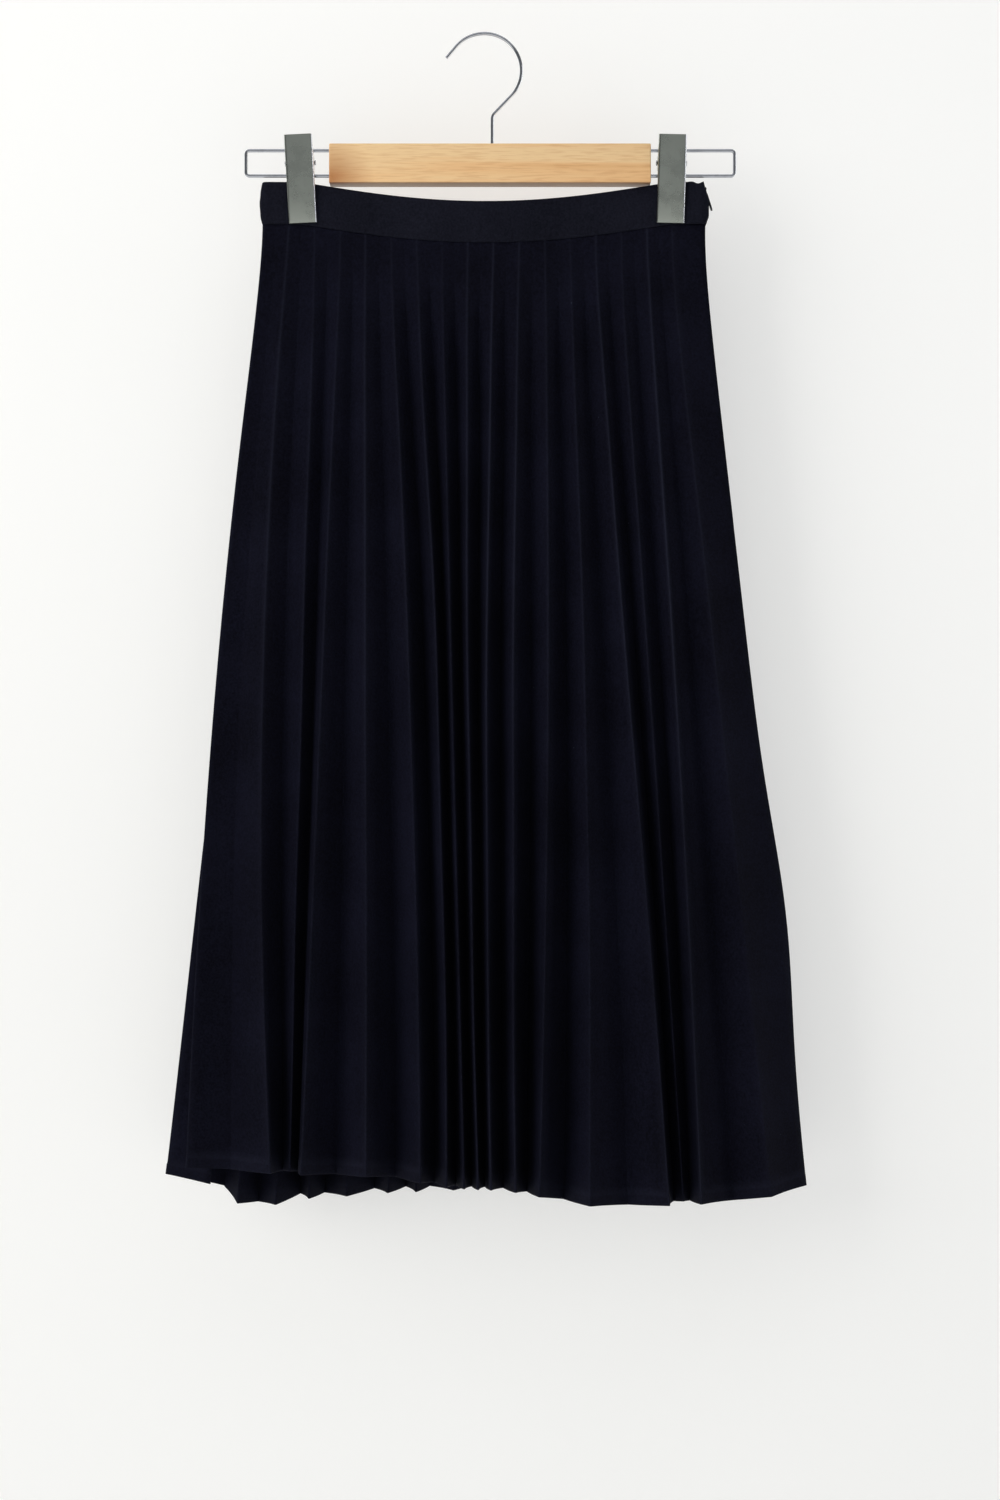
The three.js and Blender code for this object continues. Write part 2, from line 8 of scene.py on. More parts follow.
import bmesh
import bpy
import numpy as np
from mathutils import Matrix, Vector


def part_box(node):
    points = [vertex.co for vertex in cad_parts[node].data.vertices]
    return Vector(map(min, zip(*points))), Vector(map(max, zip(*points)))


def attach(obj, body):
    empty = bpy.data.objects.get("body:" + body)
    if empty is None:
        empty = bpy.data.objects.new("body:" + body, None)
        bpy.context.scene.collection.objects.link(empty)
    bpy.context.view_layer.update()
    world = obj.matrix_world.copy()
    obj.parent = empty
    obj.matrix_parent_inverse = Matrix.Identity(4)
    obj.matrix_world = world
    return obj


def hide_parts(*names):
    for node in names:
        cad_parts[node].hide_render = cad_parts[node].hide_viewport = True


bl_info = {
    "name": "Pleated skirt on a clip hanger",
    "version": (1, 0, 0),
    "blender": (4, 5, 0),
    "location": "3D View > Sidebar > Skirt",
    "description": "Makes a pleated midi skirt, its clip hanger and a plain studio",
    "category": "Object",
}

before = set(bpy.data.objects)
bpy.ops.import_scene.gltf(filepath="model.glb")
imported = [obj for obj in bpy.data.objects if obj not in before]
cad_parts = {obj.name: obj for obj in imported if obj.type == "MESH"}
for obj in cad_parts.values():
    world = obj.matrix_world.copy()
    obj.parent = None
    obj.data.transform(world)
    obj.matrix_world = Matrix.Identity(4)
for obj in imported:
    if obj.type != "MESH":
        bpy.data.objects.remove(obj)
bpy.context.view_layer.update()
MM = 0.001
ROOT = "root"
PULL_BODY = "pull"

# ---------------------------------------------------------------- the skirt's cut, in millimetres

FACE_AT_WAIST = 10.2  # one pleat face, from ridge to valley
FACE_AT_HEM = 35.0
HALF_DEPTH_WAIST = 2.6
HALF_DEPTH_HEM = 40.0  # ridges from the middle plane at the hem
DEPTH_POWER = 0.8
INNER_WAIST = 1.05  # nearest that a valley comes to the middle plane
INNER_HEM = 8.9
SIDE_POWER = 4  # how squarely the ridge line turns in at the sides
WAIST_RIDGE_FIRST = -163.4
WAIST_RIDGE_LAST = 139.0
EDGE_RIGHT_WAIST = 163.4
EDGE_RIGHT_HEM = 238.0
EDGE_BELLY = 6.5
HIP = 0.066  # how much later the pleats begin to fan out, as a share of the height
SEAM_LEFT_WAIST = -158.0
SEAM_LEFT_HEM = -203.0
SIDE_LEFT_HEM = -238.0
FOLD_FLAT = 0.5  # width of the blunt top of a pressed fold
VALLEY_DROOP = 0.13  # how far a hollow's hem leaves its ridges' height, as a share of its depth
SEAM_EASE = 0.13  # share of the height over which the pleats open from their flat stitched top
SEAM_LAP = 0.5  # how far the pleats reach up into the band, so the seam is closed from every side
SEAM_HALF_GAP = 0.65
ZIP_HALF_GAP = 1.4
ZIP_SHARE = 0.3  # how far down the side opening reaches
HEM_TURN = 7.5  # width of the turned-up hem

# Each ridge's place at the hem, how far its line bows sideways and how far it is tucked in.
FRONT_RIDGES = [
    (-217, -9, 0), (-155, -13, 0), (-142, 0, 12), (-132, 0, 0), (-85, 0, 0), (-46, 4, 0),
    (-27, 5, 0), (-14.5, 0, 0), (-4.5, -3, 0), (5, -4, 0), (22.5, -3, 0), (40, 4, 0),
    (77, 4, 0), (134, 0, 0), (145, 0, 13), (157, 3, 0), (209, 0, 0),
]
BACK_RIDGES = [
    (-236, 1.5, 0), (-196, 0, 0), (-171, 0, 0), (-140, -4, 0), (-122, 0, 0), (-84, 0, 0),
    (-60, 4, 0), (-42, 0, 0), (-4, 0, 0), (13, -4, 0), (31, 0, 0), (72, 0, 0),
    (90, 5, 0), (110, 0, 0), (152, -4, 0), (172, 0, 0), (212, 0, 0),
]
FRONT_HEM = [(-240, -842), (-216, -834), (-90, -837), (0, -846.5), (90, -859), (180, -857.5), (240, -851)]
BACK_HEM = [
    (-240, -844), (-205, -850), (-185, -868), (-165, -871),
    (-138, -865), (-50, -860), (60, -853), (240, -850),
]

# Waistband
BAND_THICK = 2.2
BAND_LEFT_X = -165.4
BAND_TOP_Z = -109.0
BAND_SAG = 15.2
BAND_HEIGHT = 31.4
BAND_PINCH = 1.45
BAND_BULGE = 4.4
BAND_FOLD_RADIUS = 1.8
ZIP_PUCKER_X = 157.9
CLIP_LEFT_X = -136.2
CLIP_RIGHT_X = 138.4
BAND_WAVE = [(160, 4.5), (157.8, 3.9), (155.6, 2.8), (152.6, 4.2), (150.4, 2.6), (148.8, 1.45)]
# share of the band's height, where its ends stand, and how far the plain fold swells
BAND_ENDS = [
    (0, 161.7, 3.6, 0), (0.29, 163.9, 3.6, 1.2), (0.5, 165.4, 2.1, 1.8), (0.8, 165.4, 2.1, 1.2),
    (1, 163.6, 2.1, 0),
]

# Wire
WIRE_RADIUS = 1.3
HOOK_RADIUS = 27.4
HOOK_FROM = -40.0
HOOK_TO = 140.0
HOOK_TAIL = 11.0
STEM_X = 5.8
STEM_BEND_Z = -62.0
STEM_BEND_RADIUS = 6.0
LOOP_HIGH_Z = -85.4
LOOP_LOW_Z = -104.2
LOOP_CORNER = 2.8
LOOP_LEFT_X = -176.4
LOOP_RIGHT_X = 185.2
HOLE_DEPTH = 13.0
HOLE_CLEARANCE = 0.3
JAW_BEND = 1.5  # rounding of a pressed jaw's long bends
JAW_LONG_EDGE = 20  # an edge longer than this, from top to foot, is one of those bends


# ---------------------------------------------------------------- settings

class ClothSettings(bpy.types.PropertyGroup):
    thickness: bpy.props.FloatProperty(
        name="Cloth thickness", description="Thickness of the crepe", default=0.6 * MM,
        min=0.3 * MM, max=2 * MM, unit="LENGTH", precision=5)
    navy: bpy.props.StringProperty(
        name="Navy", description="Main colour of the cloth, as sRGB hex", default="080810")
    navy_light: bpy.props.StringProperty(
        name="Worn navy", description="Colour of the raised threads, as sRGB hex", default="151624")
    thread_pitch: bpy.props.FloatProperty(
        name="Thread pitch", description="Spacing of the twill lines that show",
        default=0.9 * MM, min=0.2 * MM, max=3 * MM, unit="LENGTH", precision=5)


class HangerSettings(bpy.types.PropertyGroup):
    wood_pale: bpy.props.StringProperty(
        name="Pale wood", description="Colour of the beech between its grain lines", default="FFDAA6")
    wood_dark: bpy.props.StringProperty(
        name="Grain", description="Colour of the grain lines", default="ECB578")
    chrome: bpy.props.StringProperty(
        name="Chrome", description="Reflection colour of the wire", default="B9BCC3")
    clip: bpy.props.StringProperty(
        name="Clip steel", description="Reflection colour of the clips", default="C2C8BF")
    edge_round: bpy.props.FloatProperty(
        name="Bar edge", description="Rounding of the wooden bar's edges",
        default=0.9 * MM, min=0.1 * MM, max=4 * MM, unit="LENGTH", precision=5)


class StageSettings(bpy.types.PropertyGroup):
    lens: bpy.props.FloatProperty(
        name="Lens", description="Focal length of the camera, in millimetres",
        default=50.0, min=20, max=200)
    distance: bpy.props.FloatProperty(
        name="Camera distance", description="From the camera to the hanger", default=1.542,
        min=0.5, max=6, unit="LENGTH")
    eye: bpy.props.FloatVectorProperty(
        name="Camera place", description="Sideways and upwards, from the inside top of the hook",
        default=(0.0115, -0.529), size=2, unit="LENGTH")
    # This colour is given to the wall's painted glow; the matt layer beneath it is a fixed pale grey.
    wall: bpy.props.StringProperty(
        name="Wall", description="Colour of the wall and floor, as sRGB hex", default="F4F4F3")


# ---------------------------------------------------------------- general tools

def linear(code, alpha=1.0):
    """A colour given as sRGB hex, as linear values."""
    values = [int(code[i:i + 2], 16) / 255 for i in (0, 2, 4)]
    return [v / 12.92 if v <= 0.04045 else ((v + 0.055) / 1.055) ** 2.4 for v in values] + [alpha]


def lerp(a, b, t):
    return a + (b - a) * t


def along_table(table, x):
    """A smooth height along x through the table's points."""
    if x <= table[0][0]:
        return table[0][1]
    for (x0, z0), (x1, z1) in zip(table, table[1:]):
        if x <= x1:
            share = (x - x0) / (x1 - x0)
            return lerp(z0, z1, share * share * (3 - 2 * share))
    return table[-1][1]


def deselect():
    bpy.ops.object.select_all(action="DESELECT")


def only(obj):
    """Makes obj the one selected and active object."""
    deselect()
    obj.select_set(True)
    bpy.context.view_layer.objects.active = obj


def apply_modifiers(obj):
    only(obj)
    for modifier in list(obj.modifiers):
        bpy.ops.object.modifier_apply(modifier=modifier.name)


def settle(obj):
    """Puts the object's place, turn and size into its mesh."""
    only(obj)
    bpy.ops.object.transform_apply(location=True, rotation=True, scale=True)


def smooth(obj, angle=35):
    only(obj)
    bpy.ops.object.shade_smooth_by_angle(angle=math.radians(angle))


def finish_piece(obj, name, body, material, replaced=()):
    """Names a piece, gives it its material and hangs it on its body."""
    obj.name = name
    obj.data.name = name
    obj.data.materials.clear()
    obj.data.materials.append(material)
    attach(obj, body)
    if replaced:
        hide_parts(*replaced)
    return obj


def add(tree, kind, settings=None, links=None):
    """Adds a shader node with its settings and links."""
    made = tree.nodes.new(kind)
    for key, value in (settings or {}).items():
        if isinstance(key, int) or key in made.inputs:
            made.inputs[key].default_value = value
        else:
            setattr(made, key, value)
    for key, source in (links or {}).items():
        tree.links.new(source, made.inputs[key])
    return made


def ramp(tree, factor, stops):
    """A colour ramp through (place, colour) stops."""
    made = add(tree, "ShaderNodeValToRGB", {}, {"Fac": factor})
    elements = made.color_ramp.elements
    while len(elements) < len(stops):
        elements.new(0.5)
    for element, (place, colour) in zip(elements, stops):
        element.position = place
        element.color = colour
    return made.outputs["Color"]


def new_material(name):
    made = bpy.data.materials.new(name)
    made.use_nodes = True
    made.node_tree.nodes.clear()
    return made, made.node_tree


def surface(tree, settings, links):
    shader = add(tree, "ShaderNodeBsdfPrincipled", settings, links)
    add(tree, "ShaderNodeOutputMaterial", {}, {"Surface": shader.outputs["BSDF"]})
    return shader


# ---------------------------------------------------------------- materials

def crepe_material(name, dark, light, pitch):
    """Wool-blend crepe, woven and pressed: dull, with a fine broken twill, a faint bloom at the edges,
    painted highlights down the fold crests and a paler tone over the turned hem.
    """
    made, tree = new_material(name)
    where = add(tree, "ShaderNodeTexCoord").outputs
    threads = add(tree, "ShaderNodeTexWave", {
        "bands_direction": "DIAGONAL", "Scale": math.tau / (10 * pitch),
        "Distortion": 1.4, "Detail": 2.0, "Detail Scale": 3.0}, {"Vector": where["UV"]})
    grain = add(tree, "ShaderNodeTexNoise", {"Scale": 0.55 / pitch, "Detail": 4.0, "Roughness": 0.65},
                {"Vector": where["Object"]})
    weave = add(tree, "ShaderNodeMath", {"operation": "MULTIPLY_ADD", 1: 0.45},
                {0: threads.outputs["Fac"], 2: grain.outputs["Fac"]})
    cloudy = add(tree, "ShaderNodeTexNoise", {"Scale": 14.0, "Detail": 3.0}, {"Vector": where["Object"]})
    tone = add(tree, "ShaderNodeMath", {"operation": "MULTIPLY_ADD", 1: 0.5},
               {0: cloudy.outputs["Fac"], 2: grain.outputs["Fac"]})
    colour = ramp(tree, tone.outputs[0], [(0.55, linear(dark)), (1.0, linear(light))])
    # Painted highlight: this point attribute lightens the cloth towards 2B2D3C along each fold crest, in
    # place of light caught by the pressed edges; it also gives a paler tone over the turned hem.
    crest_highlight_and_hem_tone = add(tree, "ShaderNodeAttribute", {"attribute_name": "crest_highlight_and_hem_tone"})
    pale = add(tree, "ShaderNodeMix", {"data_type": "RGBA", 7: linear("2B2D3C")},
               {0: crest_highlight_and_hem_tone.outputs["Fac"], 6: colour})
    fluff = add(tree, "ShaderNodeTexVoronoi", {"Scale": 34.0, "Randomness": 1.0},
                {"Vector": where["Object"]})
    speck = ramp(tree, fluff.outputs["Distance"], [(0.0, (1, 1, 1, 1)), (0.022, (0, 0, 0, 1))])
    dusted = add(tree, "ShaderNodeMix", {"data_type": "RGBA", 7: linear("3A3F4C")},
                 {0: speck, 6: pale.outputs[2]})
    bump = add(tree, "ShaderNodeBump", {"Strength": 0.55, "Distance": 0.12 * MM},
               {"Height": weave.outputs[0]})
    surface(tree, {"Roughness": 0.8, "Specular IOR Level": 0.05, "Sheen Weight": 0.012,
                   "Sheen Roughness": 0.45, "Sheen Tint": linear("6D7794")},
            {"Base Color": dusted.outputs[2], "Normal": bump.outputs["Normal"]})
    return made


def beech_material(pale, dark):
    """Clear-varnished beech: warm, with soft streaks, fine flecks, a red patch and painted shade on the
    downward-facing underside.
    """
    made, tree = new_material("Varnished beech")
    where = add(tree, "ShaderNodeTexCoord").outputs["Object"]
    long_way = add(tree, "ShaderNodeMapping", {"Scale": (2.4, 45, 95), "Rotation": (0, 0.035, 0)},
                   {"Vector": where})
    streaks = add(tree, "ShaderNodeTexNoise", {
        "Scale": 1.0, "Detail": 4.0, "Roughness": 0.55, "Distortion": 0.25}, {"Vector": long_way.outputs[0]})
    fleck_way = add(tree, "ShaderNodeMapping", {"Scale": (60, 500, 900)}, {"Vector": where})
    flecks = add(tree, "ShaderNodeTexNoise", {"Scale": 1.0, "Detail": 2.0},
                 {"Vector": fleck_way.outputs[0]})
    base = ramp(tree, streaks.outputs["Fac"],
                [(0.3, linear(dark)), (0.46, linear("FACA92")), (0.62, linear(pale))])
    fleck_colour = ramp(tree, flecks.outputs["Fac"], [(0.35, linear("C58F58")), (0.52, (1, 1, 1, 1))])
    colour = add(tree, "ShaderNodeMix", {"data_type": "RGBA", "blend_type": "MULTIPLY", 0: 0.2},
                 {6: base, 7: fleck_colour})
    knot_at = add(tree, "ShaderNodeVectorMath", {"operation": "DISTANCE", 1: (-0.113, -0.006, -0.108)},
                  {0: where})
    knot = add(tree, "ShaderNodeMapRange", {
        "From Min": 0.002, "From Max": 0.032, "To Min": 0.85, "To Max": 0.0},
        {"Value": knot_at.outputs["Value"]})
    redder = add(tree, "ShaderNodeMix", {"data_type": "RGBA", 7: linear("B5733F")},
                 {0: knot.outputs["Result"], 6: colour.outputs[2]})
    # Painted shade: faces that turn downwards are mixed towards dark brown 6B4630, in place of the shadow
    # under the bar.
    facing = add(tree, "ShaderNodeNewGeometry")
    upward = add(tree, "ShaderNodeSeparateXYZ", {}, {0: facing.outputs["Normal"]})
    under = add(tree, "ShaderNodeMapRange", {
        "From Min": -0.3, "From Max": -0.9, "To Min": 0.0, "To Max": 0.75}, {"Value": upward.outputs["Z"]})
    colour = add(tree, "ShaderNodeMix", {"data_type": "RGBA", 7: linear("6B4630")},
                 {0: under.outputs["Result"], 6: redder.outputs[2]})
    bump = add(tree, "ShaderNodeBump", {"Strength": 0.25, "Distance": 0.1 * MM},
               {"Height": flecks.outputs["Fac"]})
    surface(tree, {"Roughness": 0.42, "Coat Weight": 0.25, "Coat Roughness": 0.3},
            {"Base Color": colour.outputs[2], "Normal": bump.outputs["Normal"]})
    return made


def metal_material(name, colour, low, high, speckle):
    """Plated steel: a clear reflection, dulled in patches by handling, with a painted near-white highlight
    on faces that turn to the right, so right-hand bends look brighter.
    """
    made, tree = new_material(name)
    where = add(tree, "ShaderNodeTexCoord").outputs["Object"]
    smears = add(tree, "ShaderNodeTexNoise", {"Scale": speckle, "Detail": 5.0, "Roughness": 0.62},
                 {"Vector": where})
    rough = add(tree, "ShaderNodeMapRange", {
        "From Min": 0.3, "From Max": 0.72, "To Min": low, "To Max": high}, {"Value": smears.outputs["Fac"]})
    base = linear(colour)
    dull = [c * 0.8 for c in base[:3]] + [1]
    thumbed = [min(c * 1.3, 0.95) for c in base[:3]] + [1]
    tint = ramp(tree, smears.outputs["Fac"], [(0.3, dull), (0.5, base), (0.66, base), (0.74, thumbed)])
    # Painted highlight: faces turned towards +x are mixed towards near white F4F5F6, in place of a bright
    # light reflected in the right-hand bends of clips and wires.
    turned = add(tree, "ShaderNodeNewGeometry")
    sideways_on = add(tree, "ShaderNodeSeparateXYZ", {}, {0: turned.outputs["Normal"]})
    right_facing_highlight = add(tree, "ShaderNodeMapRange", {"From Min": 0.2, "From Max": 0.6},
              {"Value": sideways_on.outputs["X"]})
    painted_highlight_mix = add(tree, "ShaderNodeMix", {"data_type": "RGBA", 7: linear("F4F5F6")},
                   {0: right_facing_highlight.outputs["Result"], 6: tint})
    surface(tree, {"Metallic": 1.0},
            {"Base Color": painted_highlight_mix.outputs[2], "Roughness": rough.outputs["Result"]})
    return made


def enamel_material():
    """Black stove enamel on die-cast zinc: dark and glossy, brighter in patches of wear."""
    made, tree = new_material("Black enamel")
    where = add(tree, "ShaderNodeTexCoord").outputs["Object"]
    wear = add(tree, "ShaderNodeTexNoise", {"Scale": 900.0, "Detail": 3.0}, {"Vector": where})
    colour = ramp(tree, wear.outputs["Fac"], [(0.45, linear("14161D")), (0.75, linear("3A3D45"))])
    surface(tree, {"Roughness": 0.24, "Metallic": 0.6, "Coat Weight": 0.4}, {"Base Color": colour})
    return made


def tape_material():
    """Woven polyester zip tape: dull, with a fine rib along its length."""
    made, tree = new_material("Woven zip tape")
    where = add(tree, "ShaderNodeTexCoord").outputs["Object"]
    ribs = add(tree, "ShaderNodeTexWave", {"Scale": 400.0, "Distortion": 0.3}, {"Vector": where})
    bump = add(tree, "ShaderNodeBump", {"Strength": 0.5, "Distance": 0.1 * MM},
               {"Height": ribs.outputs["Fac"]})
    colour = ramp(tree, ribs.outputs["Fac"], [(0.0, linear("0B0D16")), (1.0, linear("191C29"))])
    surface(tree, {"Roughness": 0.8, "Sheen Weight": 0.1},
            {"Base Color": colour, "Normal": bump.outputs["Normal"]})
    return made


def wall_material(code):
    """Matt emulsion on plaster with a painted glow added that keeps it bright and its shadows pale, though
    it is no lamp; the glow is a little weaker low down, a painted darkening towards the floor; clear when
    seen from behind.
    """
    made, tree = new_material("Matt white wall")
    where = add(tree, "ShaderNodeTexCoord").outputs["Object"]
    patches = add(tree, "ShaderNodeTexNoise", {"Scale": 3.0, "Detail": 3.0}, {"Vector": where})
    bump = add(tree, "ShaderNodeBump", {"Strength": 0.1, "Distance": 1 * MM},
               {"Height": patches.outputs["Fac"]})
    matt = add(tree, "ShaderNodeBsdfDiffuse", {"Color": linear("C9C9C8")},
               {"Normal": bump.outputs["Normal"]})
    height = add(tree, "ShaderNodeSeparateXYZ", {}, {"Vector": where})
    # Painted light: the wall's own emission, its strength falling towards the floor.
    fading = add(tree, "ShaderNodeMapRange", {
        "From Min": -1.15, "From Max": -0.3, "To Min": 0.487, "To Max": 0.545},
        {"Value": height.outputs["Z"]})
    glow = add(tree, "ShaderNodeEmission", {"Color": linear(code)}, {"Strength": fading.outputs["Result"]})
    plaster_and_glow = add(tree, "ShaderNodeAddShader", {}, {0: matt.outputs[0], 1: glow.outputs[0]})
    clear = add(tree, "ShaderNodeBsdfTransparent")
    side = add(tree, "ShaderNodeNewGeometry")
    both = add(tree, "ShaderNodeMixShader", {}, {
        0: side.outputs["Backfacing"], 1: plaster_and_glow.outputs[0], 2: clear.outputs[0]})
    add(tree, "ShaderNodeOutputMaterial", {}, {"Surface": both.outputs[0]})
    return made


# ---------------------------------------------------------------- the skirt's shape

def sag_at(x):
    share = min(max((x - CLIP_LEFT_X) / (CLIP_RIGHT_X - CLIP_LEFT_X), 0), 1)
    return math.sin(math.pi * share) ** 1.05


def band_top_at(x):
    return BAND_TOP_Z - BAND_SAG * sag_at(x)


def seam_at(x):
    return BAND_TOP_Z - BAND_HEIGHT - (BAND_SAG - 0.8) * sag_at(x)


def notch_at(x):
    """How far the band's top edge dips where it puckers beside the zip."""
    beyond = x - ZIP_PUCKER_X
    pucker = 3.3 * math.exp(-((beyond / 1.3) ** 2))
    slope = 0.5 * max(beyond - 3.4, 0) ** 1.2
    return pucker + slope + 0.5 * math.exp(-(((beyond + 7) / 1.2) ** 2))


def band_out_at(x):
    return BAND_PINCH + BAND_BULGE * sag_at(x) ** 2


def fan_at(t):
    """How far the pleats have spread at height share t: they hang straight over the hips first."""
    return t - HIP * (1 - math.exp(-t / 0.05)) * (1 - t) ** 1.8


def edge_right_at(t):
    belly = EDGE_BELLY * math.exp(-(((t - 0.72) / 0.13) ** 2))
    return lerp(EDGE_RIGHT_WAIST, EDGE_RIGHT_HEM, fan_at(t)) + belly


def ridge_out_at(x, t):
    """How far the ridge line stands from the middle plane."""
    side = -lerp(BAND_LEFT_X, SIDE_LEFT_HEM, fan_at(t)) if x < 0 else edge_right_at(t)
    share = min(abs(x) / side, 1)
    at_waist = band_out_at(x) + HALF_DEPTH_WAIST - BAND_PINCH
    at_hem = max(HALF_DEPTH_HEM * math.sqrt(1 - share ** SIDE_POWER), at_waist)
    return lerp(at_waist, at_hem, t ** DEPTH_POWER)


class Wander:
    """Small slow drifts of each fold line between waist and hem, the same on every run."""

    def __init__(self, count, seed):
        draw = random.Random(seed)
        self.lines = [
            [(draw.uniform(-1, 1), draw.uniform(0.7, 2.6), draw.uniform(0, 6.3)) for _ in range(3)]
            for _ in range(count)
        ]

    def at(self, i, t):
        held = min(t / 0.15, 1)
        waves = [size * math.sin(2 * math.pi * rate * t + phase) for size, rate, phase in self.lines[i]]
        return held * sum(waves) / 1.8


def fold_corners(ridges, hem, side, t, drift):
    """Corners of a panel at height share t, (x, out, z) each, from the left seam to the right edge."""
    last = len(ridges) - 1
    opened = min(t / SEAM_EASE, 1)
    opened = opened * opened * (3 - 2 * opened)
    crests = []
    for i, (hem_x, bow, tuck) in enumerate(ridges):
        waist_x = lerp(WAIST_RIDGE_FIRST, WAIST_RIDGE_LAST, i / last)
        x = lerp(waist_x, hem_x, fan_at(t)) + bow * math.sin(math.pi * t) + 0.55 * drift.at(2 * i, t)
        out = ridge_out_at(x, t) - tuck * t * t - 0.5 * (1 + drift.at(2 * i + 1, t)) * t
        crests.append((x, out - 1.15 * (1 - opened), waist_x, hem_x))
    face = lerp(FACE_AT_WAIST, FACE_AT_HEM, t)
    inner = lerp(INNER_WAIST, INNER_HEM, t ** DEPTH_POWER)
    corners = []
    for i, (x, out, waist_x, hem_x) in enumerate(crests):
        corners.append((x, out, waist_x, hem_x))
        if i == last:
            break
        next_x, next_out, next_waist, next_hem = crests[i + 1]
        half_pitch = math.hypot(next_x - x, next_out - out) / 2
        depth = math.sqrt(max(face ** 2 - half_pitch ** 2, 1))
        deep = max((out + next_out) / 2 - depth * lerp(0.15, 1, opened), inner)
        corners.append(((x + next_x) / 2, deep, (waist_x + next_waist) / 2, (hem_x + next_hem) / 2))
    outermost = [c[1] for c in corners[::2]]
    hollow = [0] * len(corners)
    for i in range(1, len(corners), 2):
        hollow[i] = (outermost[i // 2] + outermost[i // 2 + 1]) / 2 - corners[i][1]

    def height(waist_x, hem_x):
        return lerp(seam_at(waist_x) + SEAM_LAP, along_table(hem, hem_x), t)

    left_x = lerp(SEAM_LEFT_WAIST, SEAM_LEFT_HEM, fan_at(t))
    left = (left_x, side * SEAM_HALF_GAP, height(SEAM_LEFT_WAIST, SEAM_LEFT_HEM))
    gap = ZIP_HALF_GAP if t < ZIP_SHARE else SEAM_HALF_GAP
    right = (edge_right_at(t), side * gap, height(EDGE_RIGHT_WAIST, EDGE_RIGHT_HEM))
    blunt = [left]
    for (x, out, waist_x, hem_x), inside in zip(corners, hollow):
        droop = (VALLEY_DROOP if side < 0 else -VALLEY_DROOP / 2) * inside * t ** 6
        for aside in (-FOLD_FLAT / 2, FOLD_FLAT / 2):
            blunt.append((x + aside, side * out, height(waist_x + aside, hem_x + aside) - droop))
    blunt.append(right)
    return np.array(blunt)


FACE_POINTS = 5  # between two folds
CORNER_REACH = 0.4  # how far a corner's rounding reaches along its faces


def rounded_row(corners, t):
    """The corners' line with soft corners and gently bellied faces, always with as many points."""
    points = [corners[0]]
    count = len(corners)
    for i in range(1, count):
        before, here = corners[i - 1], corners[i]
        is_face = i % 2 == 1
        if is_face:
            span = here - before
            length = np.linalg.norm(span[:2])
            normal = np.array([-span[1], span[0], 0]) / max(length, 1e-6)
            belly = 0.035 * length * min(t / 0.3, 1) * (1 if (i // 2) % 2 else -0.55)
            for j in range(1, FACE_POINTS + 1):
                share = j / (FACE_POINTS + 1)
                points.append(before + span * share + normal * belly * math.sin(math.pi * share))
        if i == count - 1:
            points.append(here)
            break
        after = corners[i + 1]
        back = before - here
        on = after - here
        reach_back = min(CORNER_REACH, 0.3 * np.linalg.norm(back)) * back / np.linalg.norm(back)
        reach_on = min(CORNER_REACH, 0.3 * np.linalg.norm(on)) * on / np.linalg.norm(on)
        a, b = here + reach_back, here + reach_on
        points += [a, 0.25 * a + 0.5 * here + 0.25 * b, b]
    return np.array(points)


def crest_marks(corner_count):
    """1 at the crest of each fold and 0 elsewhere, in step with rounded_row."""
    marks = [0.0]
    for i in range(1, corner_count):
        if i % 2 == 1:
            marks += [0.0] * FACE_POINTS
        if i == corner_count - 1:
            marks.append(0.0)
            break
        is_crest = ((i - 1) // 2) % 2 == 0
        marks += [0.5, 1.0, 1.0] if is_crest and i % 2 == 1 else [1.0, 1.0, 0.5] if is_crest else [0.0] * 3
    return np.array(marks)


def sideways(row, distance):
    """The row moved sideways in plan by the given distance, with mitred corners."""
    step = np.diff(row[:, :2], axis=0)
    length = np.maximum(np.linalg.norm(step, axis=1, keepdims=True), 1e-9)
    normal = np.stack([-step[:, 1], step[:, 0]], axis=1) / length
    before = np.vstack([normal[:1], normal])
    after = np.vstack([normal, normal[-1:]])
    middle = before + after
    middle /= np.maximum(np.linalg.norm(middle, axis=1, keepdims=True), 1e-9)
    reach = distance / np.maximum((middle * before).sum(axis=1, keepdims=True), 0.45)
    moved = row.copy()
    moved[:, :2] += middle * reach
    return moved


